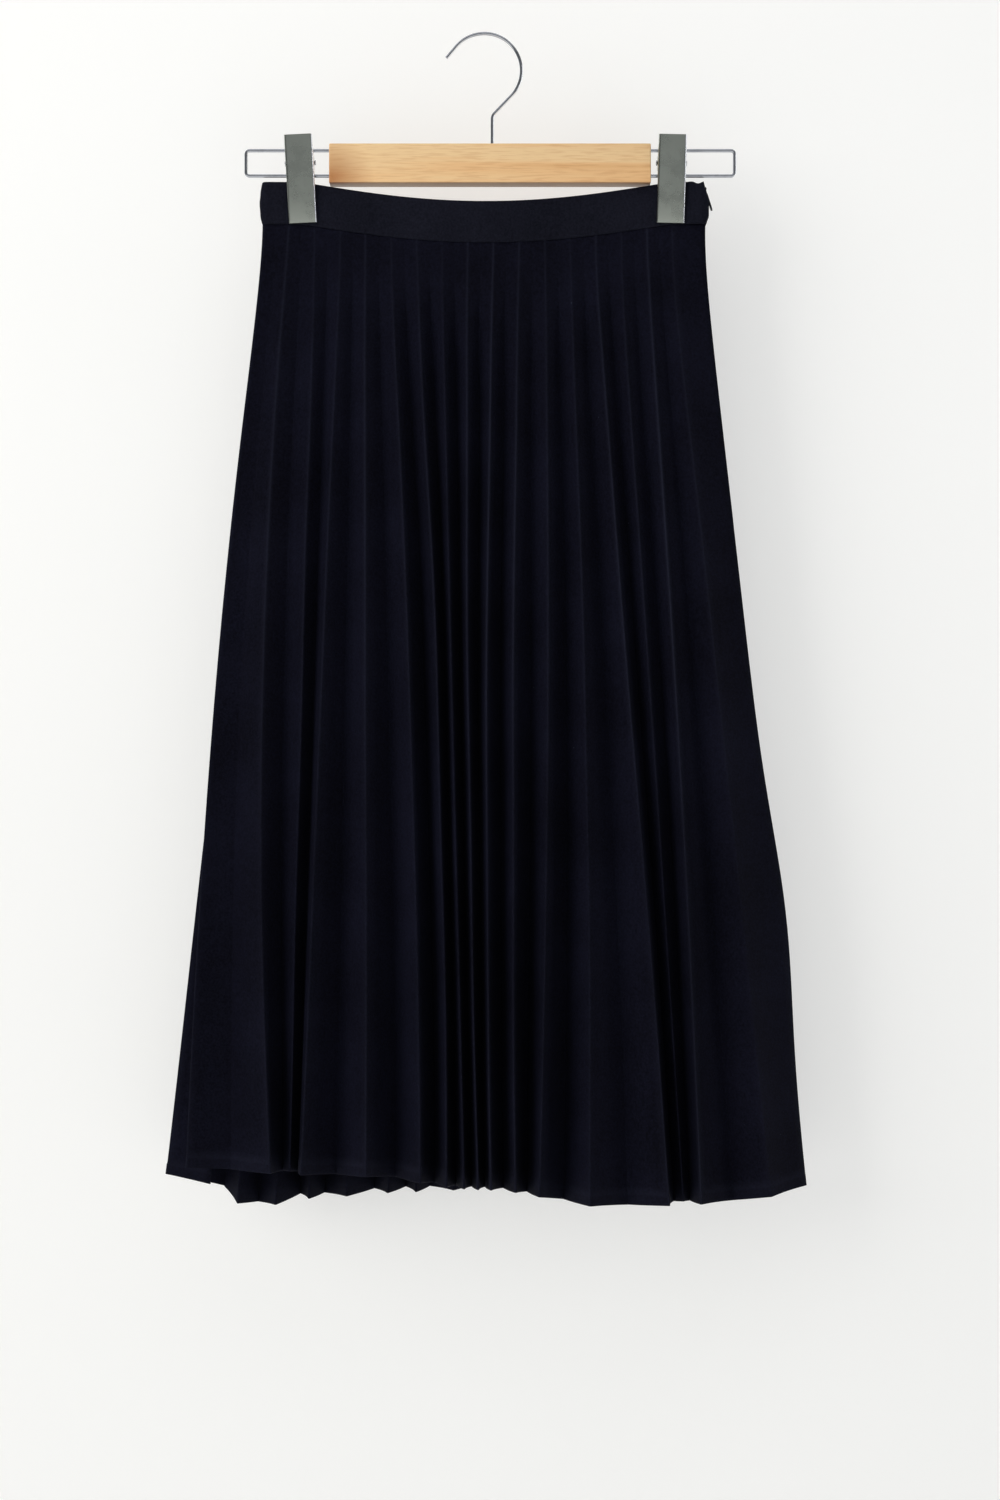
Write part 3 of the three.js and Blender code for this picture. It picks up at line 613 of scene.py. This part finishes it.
def shell_mesh(name, rows, half_thickness, crest_highlight_and_hem_tone=None):
    """A closed shell through rows of centre points, with a UV map in metres of cloth."""
    levels, count = len(rows), len(rows[0])
    sides = [[sideways(row, sign * half) for row, half in zip(rows, half_thickness)] for sign in (-1, 1)]
    points = np.concatenate([np.concatenate(side) for side in sides]) * MM
    grid = np.array(rows)
    across = np.concatenate([[0], np.cumsum(np.linalg.norm(np.diff(grid[levels // 2], axis=0), axis=1))])
    down = np.concatenate([[0], np.cumsum(np.linalg.norm(np.diff(grid[:, count // 2], axis=0), axis=1))])

    def at(side, level, i):
        return (side * levels + level) * count + i

    faces = []
    for level in range(levels - 1):
        for i in range(count - 1):
            j, below = i + 1, level + 1
            faces.append((at(0, level, i), at(0, below, i), at(0, below, j), at(0, level, j)))
            faces.append((at(1, level, i), at(1, level, j), at(1, below, j), at(1, below, i)))
        end = count - 1
        faces.append((at(0, level, 0), at(1, level, 0), at(1, level + 1, 0), at(0, level + 1, 0)))
        faces.append((at(1, level, end), at(0, level, end), at(0, level + 1, end), at(1, level + 1, end)))
    foot = levels - 1
    for i in range(count - 1):
        faces.append((at(0, 0, i), at(0, 0, i + 1), at(1, 0, i + 1), at(1, 0, i)))
        faces.append((at(1, foot, i), at(1, foot, i + 1), at(0, foot, i + 1), at(0, foot, i)))
    mesh = bpy.data.meshes.new(name)
    mesh.from_pydata(points.tolist(), [], faces)
    mesh.validate()
    layer = mesh.uv_layers.new(name="cloth")
    one_side = [(across[i] * MM, -down[level] * MM) for level in range(levels) for i in range(count)]
    per_point = one_side * 2
    for loop in mesh.loops:
        layer.data[loop.index].uv = per_point[loop.vertex_index]
    # Point attribute with the painted crest highlights and the paler hem tone, read by the cloth material.
    attribute = mesh.attributes.new("crest_highlight_and_hem_tone", "FLOAT", "POINT")
    values = np.zeros(len(mesh.vertices), np.float32)
    if crest_highlight_and_hem_tone is not None:
        values[:] = np.tile(crest_highlight_and_hem_tone.ravel(), 2)
    attribute.data.foreach_set("value", values)
    obj = bpy.data.objects.new(name, mesh)
    bpy.context.scene.collection.objects.link(obj)
    face_outwards(obj)
    for polygon in mesh.polygons:
        polygon.use_smooth = True
    return obj


def face_outwards(obj):
    """Turns the whole closed mesh round if it is inside out."""
    work = bmesh.new()
    work.from_mesh(obj.data)
    if work.calc_volume(signed=True) < 0:
        bmesh.ops.reverse_faces(work, faces=work.faces)
    work.to_mesh(obj.data)
    work.free()


def panel_levels(length):
    """Height shares: close together under the band and over the turned hem, even between them."""
    above_hem = (HEM_TURN + 6, HEM_TURN + 1, HEM_TURN, HEM_TURN - 1, 5, 3, 1.2, 0.4, 0)
    near_hem = [1 - d / length for d in above_hem]
    upper = [0, 0.002, 0.006, 0.011, 0.017, 0.024, 0.032, 0.041]
    middle = [lerp(0.05, near_hem[0], i / 56) for i in range(57)]
    return upper + middle + near_hem[1:]


def pleated_panel(name, ridges, hem, side, thickness, seed):
    drift = Wander(2 * len(ridges), seed)
    length = 700
    levels = panel_levels(length)
    rows = [rounded_row(fold_corners(ridges, hem, side, t, drift), t) for t in levels]
    half = thickness / MM / 2
    turn = [min(max((t - 1 + (HEM_TURN + 1) / length) * length / 1.0, 0), 1) for t in levels]
    edge = [1 if t < 1 else 0.55 for t in levels]
    halves = [half * (1 + 0.75 * k) * e for k, e in zip(turn, edge)]
    # Paler tone over the turned hem and a paler line along its top edge.
    ditch = [0.0 if t < levels[-8] - 1e-6 or t > levels[-7] + 1e-6 else 0.16 for t in levels]
    paler = np.array([max(0.06 * k, d) for k, d in zip(turn, ditch)])
    # Painted highlight down each fold crest: the crest marks, times a random strength for each run of 16
    # points and a strength that weakens towards the hem, lighten the crests as though they caught the light.
    crest = crest_marks(4 * len(ridges))
    draw = random.Random(seed + 50)
    crest_highlight_strength = np.repeat([draw.uniform(0.05, 0.4) for _ in range(len(crest) // 16 + 1)], 16)[:len(crest)]
    pressed = np.array([1 - 0.5 * t + 0.25 * math.sin(9 * t + seed) for t in levels])
    crest_highlight_and_hem_tone = np.maximum(paler[:, None], pressed[:, None] * (crest * crest_highlight_strength)[None, :])
    return shell_mesh(name, rows, halves, crest_highlight_and_hem_tone)


class SKIRT_OT_pleated_panels(bpy.types.Operator):
    """Makes the front and back pleated panels"""
    bl_idname = "skirt.pleated_panels"
    bl_label = "Pleated panels"

    def execute(self, context):
        settings = context.scene.skirt_cloth
        cloth = crepe_material("Navy crepe", settings.navy, settings.navy_light, settings.thread_pitch)
        for name, node, ridges, hem, side, seed in (
            ("pleated_front", "front_panel", FRONT_RIDGES, FRONT_HEM, -1, 11),
            ("pleated_back", "back_panel", BACK_RIDGES, BACK_HEM, 1, 12),
        ):
            panel = pleated_panel(name, ridges, hem, side, settings.thickness, seed)
            finish_piece(panel, name, ROOT, cloth, [node])
        return {"FINISHED"}


# ---------------------------------------------------------------- waistband

def band_row(share):
    """The band's centre line in plan at a share of its height, front end to back end."""
    for low, high in zip(BAND_ENDS, BAND_ENDS[1:]):
        if share <= high[0]:
            local = (share - low[0]) / (high[0] - low[0])
            local = local * local * (3 - 2 * local)
            end_x, end_y, swell = (lerp(low[k], high[k], local) for k in (1, 2, 3))
            break
    centre_x = BAND_LEFT_X + BAND_THICK / 2 + BAND_FOLD_RADIUS - swell
    half = [(end_x, end_y)] + list(BAND_WAVE)
    half += [(x, band_out_at(x)) for x in np.linspace(CLIP_RIGHT_X, CLIP_LEFT_X, 60)]
    half += [(x, BAND_PINCH) for x in (-142, -147.6)] + [(-155, lerp(BAND_PINCH, BAND_FOLD_RADIUS, 0.5))]
    fold = [(centre_x - BAND_FOLD_RADIUS * math.cos(a), BAND_FOLD_RADIUS * math.sin(a))
            for a in np.radians(np.linspace(-90, 90, 9))]
    line = [(x, -y) for x, y in half] + fold + [(x, y) for x, y in reversed(half)]
    dip = max(1 - share / 0.3, 0) ** 1.5
    return np.array([(x, y, lerp(band_top_at(x), seam_at(x), share) - dip * notch_at(x)) for x, y in line])


def spread_evenly(row, spacing):
    """The same line with points close enough together to bend softly."""
    step = np.linalg.norm(np.diff(row[:, :2], axis=0), axis=1)
    place = np.concatenate([[0], np.cumsum(step)])
    wanted = np.linspace(0, place[-1], spacing)
    return np.stack([np.interp(wanted, place, row[:, k]) for k in range(3)], axis=1)


def eased(row, rounds=3):
    """Softens the line's corners a little, and keeps its ends."""
    for _ in range(rounds):
        row[1:-1] = 0.5 * row[1:-1] + 0.25 * (row[:-2] + row[2:])
    return row


class SKIRT_OT_waistband(bpy.types.Operator):
    """Makes the waistband: one strip folded along its top, round the plain side to the zip"""
    bl_idname = "skirt.waistband"
    bl_label = "Waistband"

    def execute(self, context):
        settings = context.scene.skirt_cloth
        cloth = crepe_material("Fused navy crepe", "0F1018", "1E1F2A", settings.thread_pitch)
        shares = [0, 0.012, 0.035, 0.075, 0.14] + list(np.linspace(0.2, 0.86, 12))
        shares += [0.93, 0.965, 0.985, 1]
        rows, halves = [], []
        for share in shares:
            rows.append(eased(spread_evenly(band_row(share), 460)))
            rounding = math.sqrt(max(1 - (1 - min(share / 0.05, 1)) ** 2, 0.06))
            seam_edge = math.sqrt(max(1 - (1 - min((1 - share) / 0.03, 1)) ** 2, 0.25))
            halves.append(BAND_THICK / 2 * rounding * seam_edge)
        band = shell_mesh("waistband_strip", rows, halves)
        finish_piece(band, "waistband_strip", ROOT, cloth, ["waistband"])
        return {"FINISHED"}


# ---------------------------------------------------------------- wire, bar and clips

def begin_wire(start, turn):
    """An open ring at the start of a wire, in edit mode with only that ring selected."""
    deselect()
    bpy.ops.mesh.primitive_circle_add(vertices=16, radius=WIRE_RADIUS * MM, location=start, rotation=turn)
    obj = bpy.context.active_object
    settle(obj)
    bpy.ops.object.mode_set(mode="EDIT")
    bpy.ops.mesh.select_all(action="SELECT")
    return obj


def run_straight(way):
    bpy.ops.mesh.extrude_region_move(TRANSFORM_OT_translate={"value": way})


def run_bend(centre, degrees, steps, axis):
    bpy.ops.mesh.spin(steps=steps, dupli=False, angle=math.radians(degrees), center=centre, axis=axis)


def end_wire(obj):
    """Closes both ends of a wire and shades it."""
    bpy.ops.mesh.select_all(action="SELECT")
    bpy.ops.mesh.remove_doubles(threshold=1e-6)
    bpy.ops.mesh.fill_holes(sides=0)
    bpy.ops.mesh.normals_make_consistent(inside=False)
    bpy.ops.object.mode_set(mode="OBJECT")
    smooth(obj, 50)
    return obj


CLOCKWISE = (0, -1, 0)
ANTICLOCKWISE = (0, 1, 0)


def hook_wire():
    """Stem, bend, round part and straight tail of the hook, as seen from the front."""
    low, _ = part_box("hook")
    start = Vector((STEM_X * MM, 0, low.z))
    obj = begin_wire(start, (0, 0, 0))
    run_straight((0, 0, STEM_BEND_Z * MM - start.z))
    bend = 42
    centre = Vector((STEM_X + STEM_BEND_RADIUS, 0, STEM_BEND_Z)) * MM
    run_bend(centre, bend, 5, CLOCKWISE)
    turned = math.radians(bend)
    here = centre + Vector((-math.cos(turned), 0, math.sin(turned))) * STEM_BEND_RADIUS * MM
    middle = Vector((0, 0, WIRE_RADIUS - HOOK_RADIUS)) * MM
    begin = math.radians(HOOK_FROM)
    there = middle + Vector((math.cos(begin), 0, math.sin(begin))) * HOOK_RADIUS * MM
    run_straight(there - here)
    run_bend(middle, HOOK_TO - HOOK_FROM, 44, ANTICLOCKWISE)
    away = math.radians(HOOK_TO + 90)
    run_straight(Vector((math.cos(away), 0, math.sin(away))) * HOOK_TAIL * MM)
    return end_wire(obj)


def loop_wire(end_x, bar_end_x):
    """One wire loop: out of the bar, round its two corners and back."""
    out = 1 if end_x > 0 else -1
    start = Vector((bar_end_x - out * (HOLE_DEPTH - HOLE_CLEARANCE) * MM, 0, LOOP_HIGH_Z * MM))
    obj = begin_wire(start, (0, math.radians(90), 0))
    corner_x = (end_x - out * LOOP_CORNER) * MM
    run = corner_x - start.x
    run_straight((run, 0, 0))
    down = CLOCKWISE if out > 0 else ANTICLOCKWISE
    run_bend((corner_x, 0, (LOOP_HIGH_Z - LOOP_CORNER) * MM), 90, 8, down)
    run_straight((0, 0, (LOOP_LOW_Z - LOOP_HIGH_Z + 2 * LOOP_CORNER) * MM))
    run_bend((corner_x, 0, (LOOP_LOW_Z + LOOP_CORNER) * MM), 90, 8, down)
    run_straight((-run, 0, 0))
    return end_wire(obj)


class SKIRT_OT_wires(bpy.types.Operator):
    """Makes the hook and the two wire loops"""
    bl_idname = "skirt.wires"
    bl_label = "Hook and wire loops"

    def execute(self, context):
        settings = context.scene.skirt_hanger
        chrome = metal_material("Chromed wire", settings.chrome, 0.04, 0.12, 120.0)
        bar_low, bar_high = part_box("wooden_bar")
        finish_piece(hook_wire(), "hook_wire", ROOT, chrome, ["hook"])
        left = loop_wire(LOOP_LEFT_X, bar_low.x)
        finish_piece(left, "wire_loop_left", ROOT, chrome, ["loop_left"])
        right = loop_wire(LOOP_RIGHT_X, bar_high.x)
        finish_piece(right, "wire_loop_right", ROOT, chrome, ["loop_right"])
        return {"FINISHED"}


def drill(target, start, turn, depth):
    """Cuts one round hole for a wire, start being its mouth."""
    deselect()
    bpy.ops.mesh.primitive_cylinder_add(
        vertices=24, radius=(WIRE_RADIUS + HOLE_CLEARANCE) * MM, depth=2 * depth * MM,
        location=start, rotation=turn)
    bit = bpy.context.active_object
    settle(bit)
    cut = target.modifiers.new("hole", "BOOLEAN")
    cut.operation = "DIFFERENCE"
    cut.object = bit
    cut.solver = "EXACT"
    apply_modifiers(target)
    bpy.data.objects.remove(bit)


class SKIRT_OT_bar(bpy.types.Operator):
    """Makes the wooden bar with its eased edges and drilled holes"""
    bl_idname = "skirt.bar"
    bl_label = "Wooden bar"

    def execute(self, context):
        settings = context.scene.skirt_hanger
        low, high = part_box("wooden_bar")
        deselect()
        bpy.ops.mesh.primitive_cube_add(size=1, location=(low + high) / 2, scale=high - low)
        bar = bpy.context.active_object
        settle(bar)
        edge = bar.modifiers.new("eased edges", "BEVEL")
        edge.width = settings.edge_round
        edge.segments = 4
        apply_modifiers(bar)
        level = (0, math.radians(90), 0)
        drill(bar, (STEM_X * MM, 0, high.z), (0, 0, 0), HOLE_DEPTH)
        for z in (LOOP_HIGH_Z * MM, LOOP_LOW_Z * MM):
            drill(bar, (low.x, 0, z), level, HOLE_DEPTH)
            drill(bar, (high.x, 0, z), level, HOLE_DEPTH)
        smooth(bar, 30)
        wood = beech_material(settings.wood_pale, settings.wood_dark)
        finish_piece(bar, "beech_bar", ROOT, wood, ["wooden_bar"])
        return {"FINISHED"}


def round_bends(obj, radius):
    """Rounds the two long outer bends of a pressed jaw, the object being in edit mode."""
    work = bmesh.from_edit_mesh(obj.data)
    centre_y = sum(v.co.y for v in work.verts) / len(work.verts)
    out = -1 if centre_y < 0 else 1
    for edge in work.edges:
        edge.select = False
        a, b = edge.verts
        is_long = abs(a.co.z - b.co.z) > JAW_LONG_EDGE * MM
        if is_long and len(edge.link_faces) == 2:
            normals = [face.normal for face in edge.link_faces]
            faces_out = max(n.y * out for n in normals)
            faces_side = max(abs(n.x) for n in normals)
            convex = edge.calc_face_angle_signed() > 1
            edge.select = convex and faces_out > 0.8 and faces_side > 0.8
    bmesh.update_edit_mesh(obj.data)
    bpy.ops.mesh.bevel(offset=radius, offset_type="OFFSET", segments=6, affect="EDGES")


def eased_copy(node, edge, segments=2, bend=0):
    """A merged copy of a CAD node with its sharp edges eased, and a jaw's long bends rounded."""
    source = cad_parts[node]
    obj = bpy.data.objects.new(node + "_eased", source.data.copy())
    bpy.context.scene.collection.objects.link(obj)
    only(obj)
    bpy.ops.object.mode_set(mode="EDIT")
    bpy.ops.mesh.select_all(action="SELECT")
    bpy.ops.mesh.remove_doubles(threshold=1e-6)
    bpy.ops.mesh.dissolve_limited(angle_limit=math.radians(1))
    if bend:
        bpy.ops.mesh.select_mode(type="EDGE")
        round_bends(obj, bend)
    bpy.ops.object.mode_set(mode="OBJECT")
    if edge:
        bevel = obj.modifiers.new("eased edges", "BEVEL")
        bevel.width = edge
        bevel.segments = segments
        bevel.limit_method = "ANGLE"
        bevel.angle_limit = math.radians(40)
        apply_modifiers(obj)
    smooth(obj, 40)
    return obj


class SKIRT_OT_clips(bpy.types.Operator):
    """Makes both clips: pressed jaws, pivot pin and spring"""
    bl_idname = "skirt.clips"
    bl_label = "Clips"

    def execute(self, context):
        settings = context.scene.skirt_hanger
        steel = metal_material("Nickelled sheet steel", settings.clip, 0.24, 0.34, 38.0)
        chrome = bpy.data.materials["Chromed wire"]
        for side in ("left", "right"):
            for kind, edge, slot, metal in (
                ("front_jaw", 0.25 * MM, "clip_steel", steel),
                ("back_jaw", 0.25 * MM, "clip_steel", steel),
                ("pivot_pin", 0.2 * MM, "wire", chrome),
                ("spring", 0, "wire", chrome),
            ):
                node = f"{kind}_{side}"
                name = {"front_jaw": "clip_front", "back_jaw": "clip_back"}.get(kind, f"clip_{kind}")
                piece = eased_copy(node, edge, segments=3, bend=JAW_BEND * MM if "jaw" in kind else 0)
                finish_piece(piece, f"{name}_{side}", ROOT, metal, [node])
        return {"FINISHED"}


class SKIRT_OT_zip(bpy.types.Operator):
    """Makes the zip's slider and pull tab, and dresses its tape"""
    bl_idname = "skirt.zip"
    bl_label = "Zip"

    def execute(self, context):
        enamel = enamel_material()
        slider = eased_copy("zip_slider", 0.2 * MM)
        finish_piece(slider, "slider_body", ROOT, enamel, ["zip_slider"])
        pull = eased_copy("zip_pull", 0.15 * MM)
        finish_piece(pull, "pull_tab", PULL_BODY, enamel, ["zip_pull"])
        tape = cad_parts["zip_tape"]
        tape.data.materials.clear()
        tape.data.materials.append(tape_material())
        return {"FINISHED"}


# ---------------------------------------------------------------- stage

def area_light(name, place, aim, size, power, colour="FFFFFF"):
    data = bpy.data.lights.new(name, "AREA")
    data.shape = "RECTANGLE"
    data.size, data.size_y = size
    data.energy = power
    data.color = linear(colour)[:3]
    lamp = bpy.data.objects.new(name, data)
    lamp.location = place
    lamp.rotation_euler = (Vector(aim) - Vector(place)).to_track_quat("-Z", "Y").to_euler()
    bpy.context.scene.collection.objects.link(lamp)
    return lamp


class SKIRT_OT_stage(bpy.types.Operator):
    """Makes the camera, the soft lights, the wall and the floor"""
    bl_idname = "skirt.stage"
    bl_label = "Stage"

    def execute(self, context):
        settings = context.scene.skirt_stage
        scene = context.scene
        data = bpy.data.cameras.new("camera")
        data.lens = settings.lens
        data.sensor_width = 36
        camera = bpy.data.objects.new("camera", data)
        camera.location = (settings.eye[0], -settings.distance, settings.eye[1])
        camera.rotation_euler = (math.radians(90), 0, 0)
        scene.collection.objects.link(camera)
        scene.camera = camera
        plaster = wall_material(settings.wall)
        wall_y, floor_z = 0.062, -1.3
        deselect()
        upright = (math.radians(90), 0, 0)
        bpy.ops.mesh.primitive_plane_add(size=1, location=(0, wall_y, floor_z + 2.5), rotation=upright)
        wall = bpy.context.active_object
        wall.scale = (8, 5, 1)
        settle(wall)
        wall.name = "wall"
        deselect()
        bpy.ops.mesh.primitive_plane_add(size=8, location=(0, wall_y - 4, floor_z))
        floor = bpy.context.active_object
        floor.name = "floor"
        settle(floor)
        for piece in (wall, floor):
            piece.data.materials.append(plaster)
        window = area_light("window", (-3.0, -1.9, 0.7), (0, 0, -0.5), (2.6, 2.8), 80, "FFFDF8")
        window.visible_glossy = False  # so the clips' bright line is on their right edge only
        area_light("side panel", (3.0, -0.9, 0.2), (0, 0, -0.3), (0.5, 2.4), 12, "F6F8FF")
        area_light("front card", (0, -2.7, 0.45), (0, 0, -0.2), (2.2, 1.6), 2.3)
        area_light("top wash", (0, -1.2, 1.9), (0, 0.05, -0.3), (3.0, 1.0), 14)
        world = bpy.data.worlds.new("soft room")
        world.use_nodes = True
        world.node_tree.nodes["Background"].inputs["Color"].default_value = linear("E8ECEF")
        world.node_tree.nodes["Background"].inputs["Strength"].default_value = 0.12
        scene.world = world
        scene.view_settings.view_transform = "Standard"
        return {"FINISHED"}


# ---------------------------------------------------------------- panel, registration and run

STEPS = [
    SKIRT_OT_stage, SKIRT_OT_wires, SKIRT_OT_bar, SKIRT_OT_clips,
    SKIRT_OT_pleated_panels, SKIRT_OT_waistband, SKIRT_OT_zip,
]
SETTINGS = {"skirt_cloth": ClothSettings, "skirt_hanger": HangerSettings, "skirt_stage": StageSettings}


class SKIRT_PT_sidebar(bpy.types.Panel):
    """Lists the skirt's settings and steps"""
    bl_idname = "SKIRT_PT_sidebar"
    bl_label = "Pleated skirt"
    bl_space_type = "VIEW_3D"
    bl_region_type = "UI"
    bl_category = "Skirt"

    def draw(self, context):
        for group in SETTINGS:
            box = self.layout.box()
            held = getattr(context.scene, group)
            for name in held.__annotations__:
                box.prop(held, name)
        for step in STEPS:
            self.layout.operator(step.bl_idname)


def register():
    for kind in [*SETTINGS.values(), *STEPS, SKIRT_PT_sidebar]:
        bpy.utils.register_class(kind)
    for name, kind in SETTINGS.items():
        setattr(bpy.types.Scene, name, bpy.props.PointerProperty(type=kind))


def unregister():
    for name in SETTINGS:
        delattr(bpy.types.Scene, name)
    for kind in reversed([*SETTINGS.values(), *STEPS, SKIRT_PT_sidebar]):
        bpy.utils.unregister_class(kind)


def main():
    register()
    for step in STEPS:
        group, name = step.bl_idname.split(".")
        getattr(getattr(bpy.ops, group), name)()


if __name__ == "__main__":
    main()
